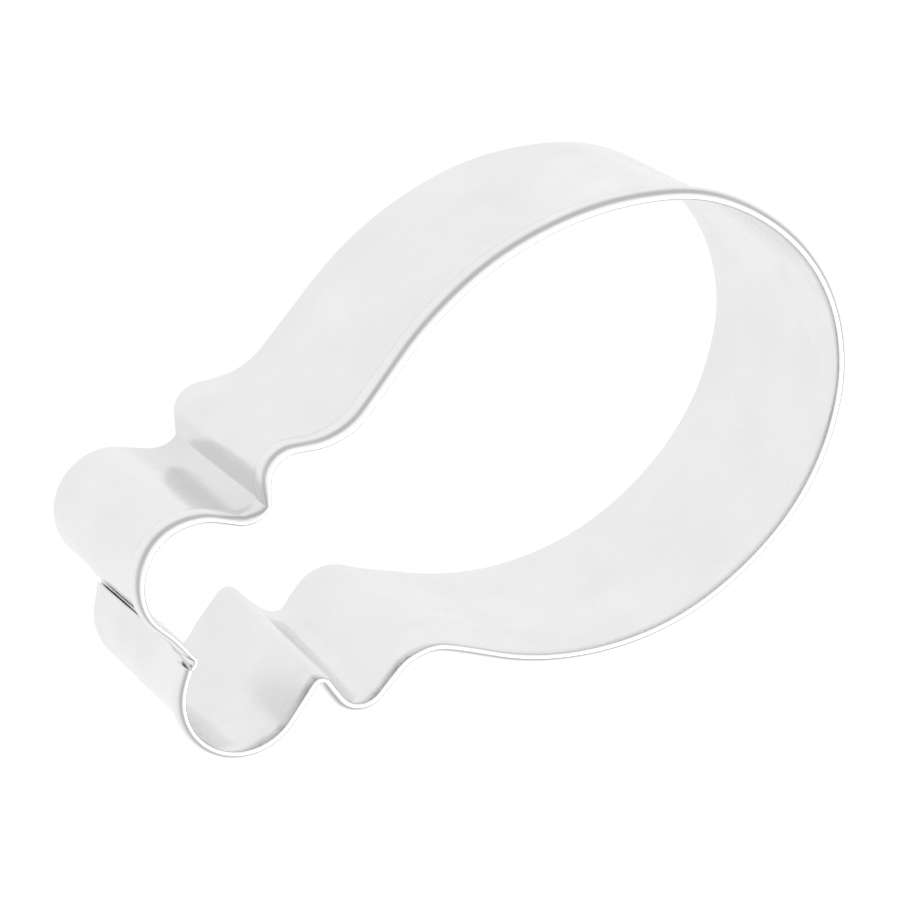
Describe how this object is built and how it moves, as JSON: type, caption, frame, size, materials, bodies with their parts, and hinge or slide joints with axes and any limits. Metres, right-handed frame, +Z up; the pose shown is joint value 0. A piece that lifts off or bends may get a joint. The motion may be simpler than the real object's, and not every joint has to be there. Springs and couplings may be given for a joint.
{
  "type": "turkey leg cookie cutter",
  "caption": "Open drumstick-shaped cookie cutter bent from a strip of tinplate, with a folded top edge to press on and a plain lower edge that cuts dough.",
  "frame": {"origin": "centre of the outline's bounding box, in the plane of the cutting edge", "axes": "+X from the bone's end towards the round end of the leg, +Z up from the cutting edge to the folded edge, +Y across the leg"},
  "size_m": [0.0768, 0.0448, 0.0254],
  "materials": {
    "tinplate": "satin"
  },
  "bodies": {
    "root": {"cutter_band": "tinplate"}
  },
  "joints": []
}
